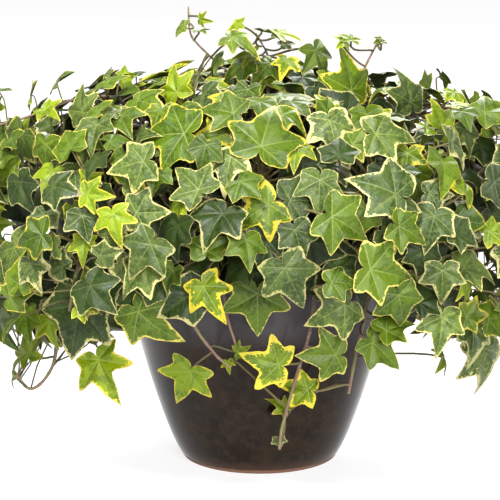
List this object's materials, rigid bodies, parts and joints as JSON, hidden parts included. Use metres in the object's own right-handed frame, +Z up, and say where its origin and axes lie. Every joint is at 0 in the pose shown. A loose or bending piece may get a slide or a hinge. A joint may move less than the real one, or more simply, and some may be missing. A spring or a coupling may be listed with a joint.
{
  "type": "potted ivy",
  "caption": "Variegated ivy spilling in a wide mound from a dark glazed pot, with lobed cream-edged leaves on woody trailing vines.",
  "frame": {"origin": "centre of the pot's flat base, on the surface it stands on", "axes": "+Z up out of the pot, +X to the right and -Y the front of the plant as it is arranged"},
  "size_m": [0.4465, 0.3581, 0.322],
  "materials": {
    "glaze": "satin",
    "potting_mix": "matte",
    "bark": "matte",
    "leaf_green": "satin",
    "leaf_lime": "satin",
    "leaf_pale": "satin",
    "leaf_dark": "satin"
  },
  "bodies": {
    "root": {"pot": "glaze", "potting_mix": "potting_mix", "vine_01": "bark", "vine_02": "bark", "vine_03": "bark", "vine_04": "bark", "vine_05": "bark", "vine_06": "bark", "vine_07": "bark", "vine_08": "bark", "vine_09": "bark", "vine_10": "bark", "vine_11": "bark", "vine_12": "bark", "vine_13": "bark", "vine_14": "bark", "vine_15": "bark", "vine_16": "bark", "vine_17": "bark", "vine_18": "bark", "vine_19": "bark", "vine_20": "bark", "leaf_01": "leaf_green", "leaf_02": "leaf_green", "leaf_03": "leaf_pale", "leaf_04": "leaf_pale", "leaf_05": "leaf_lime", "leaf_06": "leaf_lime", "leaf_07": "leaf_green", "leaf_08": "leaf_pale", "leaf_09": "leaf_lime", "leaf_10": "leaf_green", "leaf_11": "leaf_lime", "leaf_12": "leaf_pale", "leaf_13": "leaf_dark", "leaf_14": "leaf_green", "leaf_15": "leaf_green", "leaf_16": "leaf_pale", "leaf_17": "leaf_lime", "leaf_18": "leaf_dark", "leaf_19": "leaf_pale", "leaf_20": "leaf_green", "leaf_21": "leaf_pale", "leaf_22": "leaf_pale", "leaf_23": "leaf_dark", "leaf_24": "leaf_green", "leaf_25": "leaf_pale", "leaf_26": "leaf_dark", "leaf_27": "leaf_lime", "leaf_28": "leaf_lime", "leaf_29": "leaf_green", "leaf_30": "leaf_pale", "leaf_31": "leaf_green", "leaf_32": "leaf_pale", "leaf_33": "leaf_pale", "leaf_34": "leaf_green", "leaf_35": "leaf_lime", "leaf_36": "leaf_lime", "leaf_37": "leaf_pale", "leaf_38": "leaf_green"}
  },
  "joints": []
}
